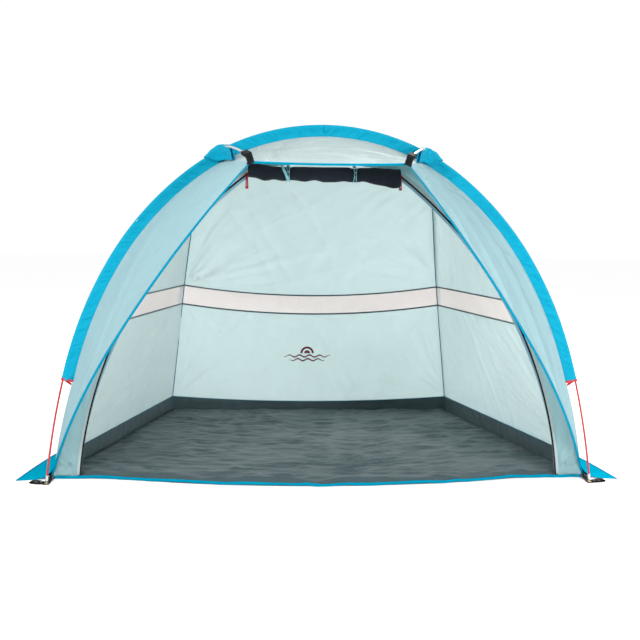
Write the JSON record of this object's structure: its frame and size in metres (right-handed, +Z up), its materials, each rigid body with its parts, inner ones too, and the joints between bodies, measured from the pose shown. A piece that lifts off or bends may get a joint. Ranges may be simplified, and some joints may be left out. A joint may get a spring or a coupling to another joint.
{
  "type": "beach tent",
  "caption": "Open-fronted sun shelter: arch pole and two crossing struts in sleeves, tub floor, mesh window band, rolled mesh door and sand flaps.",
  "frame": {"origin": "middle of the footprint box, on the ground", "axes": "+X to the right of someone looking in from the open front, +Y from the open front to the back, +Z up"},
  "size_m": [2.5618, 1.9108, 1.4968],
  "materials": {
    "pole_red": "glossy pigmented glass-fibre rod, sealed",
    "pole_white": "glossy white glass-fibre rod",
    "ferrule_metal": "drawn tube, lightly brushed",
    "tip_metal": "turned and plated",
    "shock_cord": "braided elastic cord",
    "cap_black": "moulded end cap",
    "canopy_cloth": "thin coated plain-weave polyester, light blue",
    "window_mesh": "fine knitted mesh, pale grey",
    "floor_sheet": "woven coated floor sheet, dark slate",
    "sleeve_cloth": "bright blue coated polyester",
    "mouth_webbing": "dark red woven tape",
    "binding_tape": "blue bias binding",
    "webbing_black": "black polypropylene webbing",
    "door_mesh": "black insect mesh, rolled up",
    "tie_cord": "light teal elastic cord",
    "toggle_plastic": "moulded toggle",
    "zipper_black": "coil zipper on woven tape",
    "slider_metal": "black enamelled die-cast slider",
    "pull_red": "doubled dark red cord pull",
    "brass": "stamped brass grommet",
    "flap_cloth": "bright blue coated polyester"
  },
  "bodies": {
    "root": {"main_pole_section_1": "pole_red", "main_pole_section_2": "pole_red", "main_pole_section_3": "pole_red", "main_pole_section_4": "pole_red", "main_pole_section_5": "pole_red", "main_pole_section_6": "pole_red", "main_pole_section_7": "pole_red", "left_strut_sections": "pole_white", "right_strut_sections": "pole_white", "main_pole_ferrules": "ferrule_metal", "strut_ferrules": "ferrule_metal", "main_pole_tips": "tip_metal", "strut_ground_tips": "tip_metal", "main_pole_shock_cord": "shock_cord", "strut_shock_cords": "shock_cord", "strut_front_caps": "cap_black", "back_upper": "canopy_cloth", "back_lower": "canopy_cloth", "visor": "canopy_cloth", "door_surround": "canopy_cloth", "left_side_lower": "canopy_cloth", "right_side_lower": "canopy_cloth", "left_side_upper": "canopy_cloth", "right_side_upper": "canopy_cloth", "left_wing": "canopy_cloth", "right_wing": "canopy_cloth", "back_window": "window_mesh", "left_side_window": "window_mesh", "right_side_window": "window_mesh", "floor_tub": "floor_sheet", "left_main_sleeve": "sleeve_cloth", "right_main_sleeve": "sleeve_cloth", "left_strut_sleeve": "sleeve_cloth", "right_strut_sleeve": "sleeve_cloth", "left_crossing_hood": "sleeve_cloth", "right_crossing_hood": "sleeve_cloth", "sleeve_mouth_bindings": "mouth_webbing", "front_edge_binding": "binding_tape", "floor_front_hem": "binding_tape", "left_eave_pocket": "webbing_black", "right_eave_pocket": "webbing_black", "rolled_door": "door_mesh", "door_ties": "tie_cord", "left_zipper": "zipper_black", "right_zipper": "zipper_black", "front_ground_tabs": "webbing_black", "back_ground_tabs": "webbing_black", "grommets": "brass"},
    "left_toggle": {"left_toggle": "toggle_plastic"},
    "right_toggle": {"right_toggle": "toggle_plastic"},
    "left_slider": {"left_slider": "slider_metal"},
    "right_slider": {"right_slider": "slider_metal"},
    "left_pull": {"left_pull": "pull_red"},
    "right_pull": {"right_pull": "pull_red"},
    "left_front_peg_loop": {"left_front_peg_loop": "webbing_black"},
    "right_front_peg_loop": {"right_front_peg_loop": "webbing_black"},
    "left_back_peg_loop": {"left_back_peg_loop": "webbing_black"},
    "right_back_peg_loop": {"right_back_peg_loop": "webbing_black"},
    "left_sand_flap": {"left_sand_flap": "flap_cloth"},
    "right_sand_flap": {"right_sand_flap": "flap_cloth"}
  },
  "joints": [
    {"name": "right_zip_slide", "type": "hinge", "parent": "root", "child": "right_slider", "pos_m": [-0.758, -0.53094, -0.142], "axis": [0, 1, 0], "range_deg": [0, 46.5]},
    {"name": "right_pull_swing", "type": "hinge", "parent": "right_slider", "child": "right_pull", "pos_m": [0.32053, -0.53714, 1.28722], "axis": [0, 1, 0], "range_deg": [-75, 75]},
    {"name": "right_toggle_turn", "type": "hinge", "parent": "root", "child": "right_toggle", "pos_m": [0.125, -0.61664, 1.295], "axis": [0, 1, 0], "range_deg": [-90, 90]},
    {"name": "right_flap_fold", "type": "hinge", "parent": "root", "child": "right_sand_flap", "pos_m": [1.11492, -0.54945, 0.092], "axis": [0.2215, -0.9752, 0], "range_deg": [0, 80]},
    {"name": "right_front_loop_lift", "type": "hinge", "parent": "root", "child": "right_front_peg_loop", "pos_m": [1.15895, -0.62308, 0.006], "axis": [0.2079, -0.9781, 0], "range_deg": [0, 88]},
    {"name": "right_back_loop_lift", "type": "hinge", "parent": "root", "child": "right_back_peg_loop", "pos_m": [0.83354, 0.89984, 0.006], "axis": [0.784, -0.6207, 0], "range_deg": [0, 88]},
    {"name": "left_zip_slide", "type": "hinge", "parent": "root", "child": "left_slider", "pos_m": [0.758, -0.53094, -0.142], "axis": [0, -1, 0], "range_deg": [0, 46.5]},
    {"name": "left_pull_swing", "type": "hinge", "parent": "left_slider", "child": "left_pull", "pos_m": [-0.32053, -0.53714, 1.28722], "axis": [0, 1, 0], "range_deg": [-75, 75]},
    {"name": "left_toggle_turn", "type": "hinge", "parent": "root", "child": "left_toggle", "pos_m": [-0.15, -0.61664, 1.295], "axis": [0, 1, 0], "range_deg": [-90, 90]},
    {"name": "left_flap_fold", "type": "hinge", "parent": "root", "child": "left_sand_flap", "pos_m": [-1.11492, -0.54945, 0.092], "axis": [0.2215, 0.9752, 0], "range_deg": [0, 80]},
    {"name": "left_front_loop_lift", "type": "hinge", "parent": "root", "child": "left_front_peg_loop", "pos_m": [-1.15895, -0.62308, 0.006], "axis": [0.2079, 0.9781, 0], "range_deg": [0, 88]},
    {"name": "left_back_loop_lift", "type": "hinge", "parent": "root", "child": "left_back_peg_loop", "pos_m": [-0.83354, 0.89984, 0.006], "axis": [0.784, 0.6207, 0], "range_deg": [0, 88]}
  ]
}
